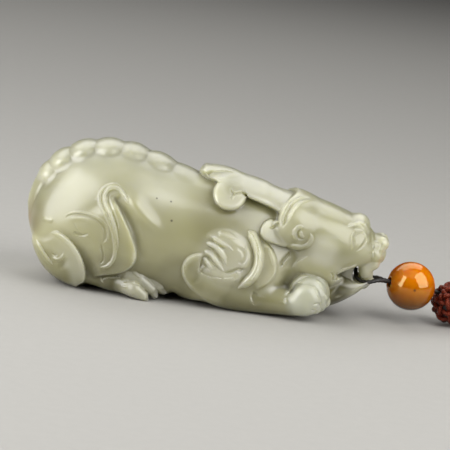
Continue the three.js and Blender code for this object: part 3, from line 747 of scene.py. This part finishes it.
# %% Skin from the field
GRID = 0.19
MOST_TRIANGLES = 190000
BLOCK = 5
NEAR = 2.6


def ticks(low, high):
    """Grid lines from low to a little past high, in whole blocks."""
    return low + GRID * np.arange(BLOCK * math.ceil((high - low) / GRID / BLOCK))


def field_on_half(axes):
    """The field on a grid. Farther than NEAR millimetres from the skin one value does for a whole block,
    because only its sign counts there."""
    middles = [axis.reshape(-1, BLOCK).mean(1) for axis in axes]
    values = stone(np.stack(np.meshgrid(*middles, indexing="ij"), -1).astype(np.float32))
    for axis in range(3):
        values = np.repeat(values, BLOCK, axis)
    near = np.abs(values) < NEAR
    points = np.stack(np.meshgrid(*axes, indexing="ij"), -1).astype(np.float32)
    values[near] = stone(points[near])
    print("worked out near the skin:", round(float(near.mean()), 2), "of", near.size)
    return values


def skin(field, axes):
    """A point in each crossed cell, at the mean of its crossings, and a quad round each crossed edge."""
    inside = field < 0
    total = np.zeros([n - 1 for n in field.shape] + [3])
    count = np.zeros([n - 1 for n in field.shape])
    quads = []
    for k in range(3):
        low, high = [slice(None)] * 3, [slice(None)] * 3
        low[k], high[k] = slice(0, -1), slice(1, None)
        cells = np.nonzero(inside[tuple(low)] != inside[tuple(high)])
        a, b = field[tuple(low)][cells], field[tuple(high)][cells]
        place = np.stack([axes[i][cells[i]] for i in range(3)], 1)
        place[:, k] += a / (a - b) * (axes[k][1] - axes[k][0])
        p, q = (k + 1) % 3, (k + 2) % 3
        around = []
        for dp, dq in ((1, 1), (0, 1), (0, 0), (1, 0)):
            cell = list(cells)
            cell[p], cell[q] = cell[p] - dp, cell[q] - dq
            np.add.at(total, tuple(cell), place)
            np.add.at(count, tuple(cell), 1)
            around.append(np.ravel_multi_index(cell, count.shape))
        around = np.stack(around, 1)
        quads.append(np.where((a < 0)[:, None], around, around[:, ::-1]))
    used = count.ravel() > 0
    number = np.cumsum(used) - 1
    points = total.reshape(-1, 3)[used] / count.ravel()[used, None]
    return points, number[np.concatenate(quads)]


def slope(points, step=0.04):
    """The field's gradient, from its differences over a small step each way."""
    arms = step * np.eye(3, dtype=np.float32)
    return np.stack([(stone(points + arm) - stone(points - arm)) / (2 * step) for arm in arms], -1)


def settle(points, rounds=2):
    """Slides points onto the skin: each goes down the slope by the field's value over its steepness."""
    for _ in range(rounds):
        down = slope(points)
        move = -stone(points)[:, None] * down / ((down**2).sum(1, keepdims=True) + 1e-3)
        reach = np.linalg.norm(move, axis=1, keepdims=True)
        points = points + move * np.minimum(1, 0.5 * GRID / np.maximum(reach, 1e-6))
    return points


def thinned(points, faces, share):
    """The same skin with that share of its triangles: flat places give up theirs, creases keep them."""
    mesh = bpy.data.meshes.new("fine_skin")
    mesh.from_pydata(points.tolist(), [], faces)
    fine = bpy.data.objects.new("fine_skin", mesh)
    bpy.context.scene.collection.objects.link(fine)
    fine.modifiers.new("thin", "DECIMATE").ratio = share
    result = bpy.data.meshes.new_from_object(fine.evaluated_get(bpy.context.evaluated_depsgraph_get()))
    points = np.empty(3 * len(result.vertices), np.float32)
    result.vertices.foreach_get("co", points)
    faces = [list(face.vertices) for face in result.polygons]
    bpy.data.objects.remove(fine)
    for spent in (mesh, result):
        bpy.data.meshes.remove(spent)
    return points.reshape(-1, 3), faces


xs, half_ys, zs = ticks(-1.2, 71.2), ticks(GRID / 2, 15), ticks(-0.8, 29.4)
field = field_on_half((xs, half_ys, zs))
field = np.concatenate([field[:, ::-1], field], axis=1)
skin_points, skin_quads = skin(field, (xs, np.concatenate([-half_ys[::-1], half_ys]), zs))
print("skin:", len(skin_points), "points,", 2 * len(skin_quads), "triangles")
skin_points = settle(skin_points.astype(np.float32))

skin_faces = skin_quads.tolist()
if 2 * len(skin_faces) > MOST_TRIANGLES:
    skin_points, skin_faces = thinned(skin_points, skin_faces, MOST_TRIANGLES / (2 * len(skin_faces)))
    skin_points = settle(skin_points, 1)
    print("thinned:", len(skin_points), "points,", len(skin_faces), "triangles")
outward = unit(slope(skin_points, 0.06))
jade = mesh_piece("jade_carving", skin_points, skin_faces)
jade.data.normals_split_custom_set_from_vertices(outward.tolist())
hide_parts("jade_pixiu")

# %% [markdown]
# ## Where the stone is hollow and where it is thin
# Nephrite lets light in for a few millimetres, and light that enters a thin lip or a raised line comes out
# again. The colour paints both: thin places get a painted pale glow, and cut hollows painted shade in
# olive. The field gives both measures: a step out from a hollow comes near to stone again, and a step
# into a thin place comes out.

# %% Hollow and thin
STEP_OUT, STEP_IN = 1.1, 2.4
hollow = np.clip(1 - stone(skin_points + STEP_OUT * outward) / STEP_OUT, 0, 1)
thin = np.clip(1 + stone(skin_points - STEP_IN * outward) / STEP_IN, 0, 1)
for name, values in (("hollow", hollow), ("thin", thin)):
    jade.data.attributes.new(name, "FLOAT", "POINT").data.foreach_set("value", values.astype(np.float32))
    print(name, "on average:", round(float(values.mean()), 2))

# %% [markdown]
# ## The two beads
# The amber is a ball turned on a lathe and drilled through for both strands of the loop. The second ball
# is tied, not turned: one thin cord goes round and round a core as a Turk's head knot, over one strand
# and under the next. Its path is a wave round the ball, and it rises and sinks between the crossings.

# %% Turned balls
SWING = math.radians(15.7)
AMBER_AT, AMBER_FALL, AMBER_RADIUS = (75.15, 2, 7.2), 5, 4.7
BALL_AT, BALL_FALL = (84, 4.5, 4.45), 28


def lanyard_axes(fall):
    """The direction that the lanyard takes at a bead, falling by some degrees, and two square to it."""
    fall = math.radians(fall)
    ahead = np.array([math.cos(fall) * math.cos(SWING), math.cos(fall) * math.sin(SWING), -math.sin(fall)])
    side = np.array([-math.sin(SWING), math.cos(SWING), 0])
    return ahead, side, np.cross(ahead, side)


def drilled_ball(at, fall, radius, bore, rim, rows=64, sides=96):
    """A profile of ball, rounded rim and bore, carried once round the bore's axis."""
    ahead, side, up = lanyard_axes(fall)
    top = math.acos((bore + rim) / radius)
    arc = np.linspace(-top, top, rows)
    out = np.stack([radius * np.cos(arc), radius * np.sin(arc)], 1)
    turn = np.linspace(top, math.pi, 9)[1:, None]
    low = (radius - rim) * math.sin(top)
    lip = np.array([[bore + rim, low]]) + rim * np.concatenate([np.cos(turn), np.sin(turn)], 1)
    profile = np.concatenate([out, lip, lip[::-1] * (1, -1)])
    angle = np.linspace(0, 2 * np.pi, sides, endpoint=False)[None, :, None]
    ring = side * np.cos(angle) + up * np.sin(angle)
    points = np.asarray(at) + profile[:, None, :1] * ring + profile[:, None, 1:] * ahead
    return points.reshape(-1, 3), grid_faces(len(profile), sides, closed_rows=True)


amber = mesh_piece("amber_ball", *drilled_ball(AMBER_AT, AMBER_FALL, AMBER_RADIUS, 1.0, 0.25))
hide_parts("amber_bead")
core = mesh_piece("ball_core", *drilled_ball(BALL_AT, BALL_FALL, 3.45, 0.5, 0.2, 24, 36))
print("beads turned")

# %% The tied ball
LEADS, BIGHTS = 9, 8
STRAND = 0.47


def turks_head(middle_radius, lift, reach, samples=1400):
    """LEADS times round while it waves BIGHTS times from pole to pole. The crossings lie where both
    strands share a place, and the height runs between them as a cosine, up at one and down at the next."""
    t = np.linspace(0, 2 * np.pi, samples, endpoint=False)
    k = np.arange(1, LEADS)
    m = np.arange(2 * BIGHTS)
    crossings = (np.pi * (2 * m[:, None] + 1) / (2 * BIGHTS) + np.pi * k / LEADS) % (2 * np.pi)
    crossings = np.sort(crossings.ravel())
    place = np.interp(t, np.concatenate([crossings[-1:] - 2 * np.pi, crossings, crossings[:1] + 2 * np.pi]),
                      np.arange(-1, len(crossings) + 1))
    radius = middle_radius + lift * np.cos(np.pi * place)
    around, rise = LEADS * t, reach * np.sin(BIGHTS * t)
    ahead, side, up = lanyard_axes(BALL_FALL)
    out = side * np.cos(around)[:, None] + up * np.sin(around)[:, None]
    return BALL_AT + radius[:, None] * (out * np.cos(rise)[:, None] + ahead * np.sin(rise)[:, None])


braid = mesh_piece("ball_braid", *tube(turks_head(3.5, 0.4, math.radians(72)), STRAND, 12, closed=True))
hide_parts("knot_bead")


def trefoil(at, size, samples=96):
    """The overhand knot that stops the cord: twice round an axis while it waves three times."""
    t = np.linspace(0, 2 * np.pi, samples, endpoint=False)
    ring = size * (2 + np.cos(3 * t))
    flat = np.stack([1.2 * size * np.sin(3 * t), ring * np.cos(2 * t), ring * np.sin(2 * t)], 1)
    return np.asarray(at) + flat


stop_knot = mesh_piece("end_knot", *tube(trefoil(ROUTE[-1], 0.29), CORD_RADIUS, 14, closed=True))
print("knot ball:", len(braid.data.polygons), "faces")

# %% [markdown]
# ## Materials
# A material is a small graph of nodes. Colours are hex codes as a picture shows them, and one function
# turns them to linear values. Another adds one node with its settings and its links, and a third sets
# the shader's own sockets in the same way.

# %% Colours and nodes
def linear(code):
    """An sRGB hex colour as linear values, fully opaque."""
    c = np.array([int(code[i:i + 2], 16) for i in (1, 3, 5)]) / 255
    return (*np.where(c > 0.04045, ((c + 0.055) / 1.055) ** 2.4, c / 12.92).tolist(), 1.0)


def fill(tree, node, inputs):
    """Each input of a node takes a value, or another node's output. A list fills them from the first on."""
    for name, source in (inputs.items() if isinstance(inputs, dict) else enumerate(inputs)):
        if isinstance(source, bpy.types.NodeSocket):
            tree.links.new(source, node.inputs[name])
        else:
            node.inputs[name].default_value = source


def add(tree, kind, inputs=(), give=0, **settings):
    """One node with its settings and links. It gives back one of its outputs."""
    node = tree.nodes.new("ShaderNode" + kind)
    for key, value in settings.items():
        setattr(node, key, value)
    fill(tree, node, inputs)
    return node.outputs[give]


def blank(name):
    """A new material and its tree."""
    material = bpy.data.materials.new(name)
    material.use_nodes = True
    return material, material.node_tree


def dress(piece, material, inputs):
    """Sets the material's shader and gives the material to a piece."""
    fill(material.node_tree, material.node_tree.nodes["Principled BSDF"], inputs)
    piece.data.materials.append(material)


def per_mm(millimetres):
    """The scale of a pattern whose features are that many millimetres apart."""
    return 1 / (millimetres * MM)


def mottled(tree, first, second, apart, **noise):
    """Two colours mixed by soft noise whose spots are that many millimetres apart."""
    spots = add(tree, "TexNoise", {"Vector": add(tree, "TexCoord", give="Object"), "Scale": per_mm(apart),
                                   **noise}, "Fac")
    return add(tree, "Mix", {0: spots, 6: linear(first), 7: linear(second)}, 2, data_type="RGBA")


print("jade's mean colour, linear:", [round(v, 2) for v in linear("#C6C5AE")[:3]])

# %% [markdown]
# ## Nephrite
# The stone is pale greenish nephrite, felted so finely that it shows no grain, polished with fine grit and
# leather. The eye sees a clear gloss over a softer one, as of wax under water, and light that seeps six
# millimetres into the stone. Its colour comes in layers. First, painted shade takes it from olive at the
# foot to pale grey-green on the back, along lines that faint clouds bend, and darkens the top of the back
# and the horn a little. Then come single clouds, a russet trace of the pebble's rind on the rump, three
# dark specks, and paler patches on the wing, the blade and the lower cheek. Among them are patches of
# painted shade under the jaw, in the mouth, on the upper flank and on the left of the haunch, and one of
# painted light on the back. Last, hollows get painted shade in olive, and thin lips and raised lines a
# painted pale glow.

# %% Nephrite
# Each stone cloud, speck, patch of painted shade and patch of painted light: its place in the frame and the
# radii of its core and rim in mm, its colour, its share
CLOUDS_AND_PAINTED_SHADE_AND_LIGHT = [
    # painted shade on the upper flank, and a cool grey cloud on the front paw
    ((3, -9, 17.5), 3, 9, "#7F7B52", 0.6), ((20.8, -9.6, 4.6), 3.2, 5.5, "#A7ABA0", 0.7),
    # paler on the wing and on the blade
    ((4.6, -10.5, 10.2), 3.5, 7, "#BFBDA8", 0.75), ((12.2, -9, 9), 2.5, 5, "#BBB89E", 0.7),
    # painted shade under the jaw and in the mouth
    ((29, -3.5, 5.2), 3.2, 6, "#46421E", 0.85), ((27.8, -2.4, 9.6), 1.5, 3.2, "#5A5630", 0.75),
    # the pebble's russet rind on the rump, in two spots
    ((-33.2, -5, 12), 1.5, 5.5, "#6C602C", 0.85), ((-34.3, -3, 11), 0.3, 2.6, "#86652C", 0.6),
    # a yellow trace low on the tail, and a yellowish cloud on top of the neck
    ((-21.9, -9, 2.4), 1.5, 5, "#8A8759", 0.4), ((17, 0, 25), 1, 4, "#B0A470", 0.4),
    # painted shade on the left of the haunch, and paler on the lower cheek
    ((-31.5, -7, 16), 2, 7.5, "#85836A", 0.5), ((22.2, -8, 13.9), 1.5, 4, "#CFCEBB", 0.7),
    # painted light on the back
    ((-9.8, -8, 22), 2, 7, "#C2C1AC", 0.5),
]
CLOUDS_AND_PAINTED_SHADE_AND_LIGHT += [(at, 0.1, rim, "#2A2614", 0.75) for at, rim in (
    ((-10.08, -10.36, 19.61), 0.28), ((-7.37, -9.94, 19.31), 0.28), ((-6.75, -11.36, 16), 0.32))]
nephrite, tree = blank("polished_pale_nephrite")
place = add(tree, "TexCoord", give="Object")
haze = add(tree, "TexNoise", {"Vector": place, "Scale": per_mm(14), "Detail": 3.0, "Roughness": 0.5}, "Fac")
lift = add(tree, "MapRange", [haze, 0.3, 0.7, -3 * MM, 3 * MM])
painted_shade_height = add(tree, "Math", [add(tree, "SeparateXYZ", [place], "Z"), lift], operation="ADD")
# Each layer: a measure, its low and high ends, the layer's share at both, and its colour
# The first two layers are painted shade: dark olive at the foot, growing paler up the flanks to the back.
layers = [(painted_shade_height, 0, 9.5 * MM, 0, 1, "#A5A27C"), (painted_shade_height, 12 * MM, 27 * MM, 0, 1, "#A9A891")]
for at, core_radius, rim_radius, code, most in CLOUDS_AND_PAINTED_SHADE_AND_LIGHT:
    away = add(tree, "VectorMath", [place, [c * MM for c in at]], "Value", operation="DISTANCE")
    layers.append((away, core_radius * MM, rim_radius * MM, most, 0, code))
layers += [
    # Painted shade in olive in the hollows, and a painted pale glow on thin lips and raised lines.
    (add(tree, "Attribute", give="Fac", attribute_name="hollow"), 0.04, 0.75, 0, 0.42, "#7A7548"),
    (add(tree, "Attribute", give="Fac", attribute_name="thin"), 0.02, 0.5, 0, 0.55, "#C4C3B1"),
    # Painted shade: the top of the back and the horn a little darker.
    (painted_shade_height, 22.5 * MM, 25.5 * MM, 0, 0.4, "#8E8D74"),
]
# The dark olive at the foot, under every layer, is the low end of that painted shade.
colour = linear("#5A562E")
for measure, low, high, share_low, share_high, code in layers:
    share = add(tree, "MapRange", [measure, low, high, share_low, share_high],
                interpolation_type="SMOOTHSTEP" if share_low > share_high else "LINEAR")
    colour = add(tree, "Mix", {0: share, 6: colour, 7: linear(code)}, 2, data_type="RGBA")
dress(jade, nephrite, {"Base Color": colour, "Roughness": 0.34, "IOR": 1.61, "Coat Weight": 0.6,
                       "Coat Roughness": 0.2, "Subsurface Weight": 1.0, "Subsurface Scale": 6 * MM,
                       "Subsurface Radius": (1.0, 1.0, 0.7)})
print("layers of colour in the stone:", len(layers) + 1)

# %% [markdown]
# ## Amber
# The bead is old beeswax amber: cloudy, egg-yolk yellow inside, polished to a mirror. Red light goes a
# long way under its skin and blue hardly any, so it glows orange. Its lower side, which little light
# reaches, is painted deep brown, as painted shade. One dark grain is caught in it. Its gloss takes a
# little of its colour.

# %% Amber
beeswax, tree = blank("polished_beeswax_amber")
yolk = mottled(tree, "#BE5602", "#E28A02", 5, Detail=4.0, Roughness=0.55, Distortion=1.2)
place = add(tree, "TexCoord", give="Object")
# Painted shade: the colour turns deep brown towards the bead's lower side.
painted_shade_share = add(tree, "MapRange", [add(tree, "SeparateXYZ", [place], "Z"), 2.5 * MM, 9.5 * MM])
colour = add(tree, "Mix", {0: painted_shade_share, 6: linear("#381000"), 7: yolk}, 2, data_type="RGBA")
away = add(tree, "VectorMath", [place, (40.85 * MM, -2.65 * MM, 7.45 * MM)], "Value", operation="DISTANCE")
grain = add(tree, "MapRange", [away, 0.1 * MM, 0.4 * MM, 0.8, 0])
colour = add(tree, "Mix", {0: grain, 6: colour, 7: linear("#3A1000")}, 2, data_type="RGBA")
dress(amber, beeswax, {"Base Color": colour, "Roughness": 0.03, "IOR": 1.54, "Specular IOR Level": 1.0,
                       "Specular Tint": linear("#FFF4B8"), "Subsurface Weight": 0.6,
                       "Subsurface Scale": 1.4 * MM, "Subsurface Radius": (1.0, 0.35, 0.04)})
print("amber dressed")

# %% [markdown]
# ## Cords
# The black cord is waxed thread in three strands, and its wax gives it a dull shine. The ball is tied from
# a red-brown braided cord. Two sets of waves cross on it and the higher one shows, as threads do in a
# braid, and each thread catches the light by itself. Down between the threads the colour goes near-black,
# as painted shade in the grooves. Real threads would be too fine to see, so six go round the cord here.
# The core inside is dark and only fills the gaps.

# %% Waxed thread
waxed, tree = blank("waxed_black_thread")
wax = mottled(tree, "#0D0B0A", "#26211D", 0.5, Detail=2.0)
for piece in (cord, stop_knot):
    dress(piece, waxed, {"Base Color": wax, "Roughness": 0.42})
print("cord and end knot dressed")

# %% Braided cord and the core
THREADS_ROUND, THREADS_PER_MM = 6.0, 2.4
braided, tree = blank("braided_red_brown_cord")
turn = add(tree, "SeparateXYZ", [add(tree, "TexCoord", give="UV")], "X")
around = add(tree, "Math", [turn, THREADS_ROUND], operation="MULTIPLY")
length = add(tree, "Math", [turn.node.outputs["Y"], THREADS_PER_MM], operation="MULTIPLY")
waves = []
for lean in ("ADD", "SUBTRACT"):
    phase = add(tree, "Math", [around, length], operation=lean)
    radians = add(tree, "Math", [phase, 2 * math.pi], operation="MULTIPLY")
    waves.append(add(tree, "Math", [radians], operation="SINE"))
weave = add(tree, "Math", waves, operation="MAXIMUM")
# Raised threads are red-brown; down in the grooves between them the colour is painted near-black, as painted
# shade.
share = add(tree, "MapRange", [weave, -0.6, 1])
colour = add(tree, "Mix", {0: share, 6: linear("#0C0302"), 7: linear("#6A1C10")}, 2, data_type="RGBA")
raised = add(tree, "Bump", {"Height": share, "Strength": 0.8, "Distance": 0.08 * MM})
dress(braid, braided, {"Base Color": colour, "Normal": raised, "Roughness": 0.24,
                       "Specular IOR Level": 1.0, "Specular Tint": linear("#FF9C7C")})

# The core is near-black, so the gaps between the loops show dark.
near_black_core, tree = blank("dark_ball_core")
dress(core, near_black_core, {"Base Color": mottled(tree, "#0C0504", "#1C0D0A", 1.5)})
print("materials:", sorted(m.name for m in bpy.data.materials))

# %% [markdown]
# ## Floor and light
# The floor is a plain pale sheet. Two soft boxes stand left and right of the camera, because the amber
# shows both of them as upright windows, and the left one is the stronger. A weak one hangs above, where
# the back is brightest, and a large one behind the stone lights the far floor and the spine's edge.

# %% Floor, lights and air
bpy.ops.mesh.primitive_plane_add(size=5)
floor = bpy.context.object
floor.name = "floor"
paper, tree = blank("pale_paper")
dress(floor, paper, {"Base Color": mottled(tree, "#A5A39E", "#A9A7A2", 2), "Roughness": 0.8})

turned = bpy.context.scene.camera.rotation_quaternion


def soft_box(name, toward, distance, width, height, power):
    """An upright rectangle of light. Its direction from the target is how far right, up and back it
    stands, as the camera sees it."""
    light = bpy.data.lights.new(name, "AREA")
    light.shape, light.size, light.size_y, light.energy = "RECTANGLE", width, height, power
    aimed(name, light, TARGET + distance * (turned @ Vector(toward).normalized()), TARGET)


soft_box("left_box", (-0.80, 0.40, 0.45), 0.34, 0.32, 0.40, 1.9)
soft_box("right_box", (0.80, 0.38, 0.47), 0.34, 0.32, 0.38, 1.35)
soft_box("sky_box", (0.0, 0.90, 0.43), 0.42, 0.50, 0.36, 0.25)
soft_box("back_box", (0.0, 0.90, -0.43), 0.60, 0.80, 0.50, 2.1)
air = bpy.data.worlds.new("studio_air")
air.use_nodes = True
air.node_tree.nodes["Background"].inputs[0].default_value = linear("#262626")
bpy.context.scene.world = air
bpy.context.scene.view_settings.view_transform = "Standard"
print("lights:", len(bpy.data.lights))
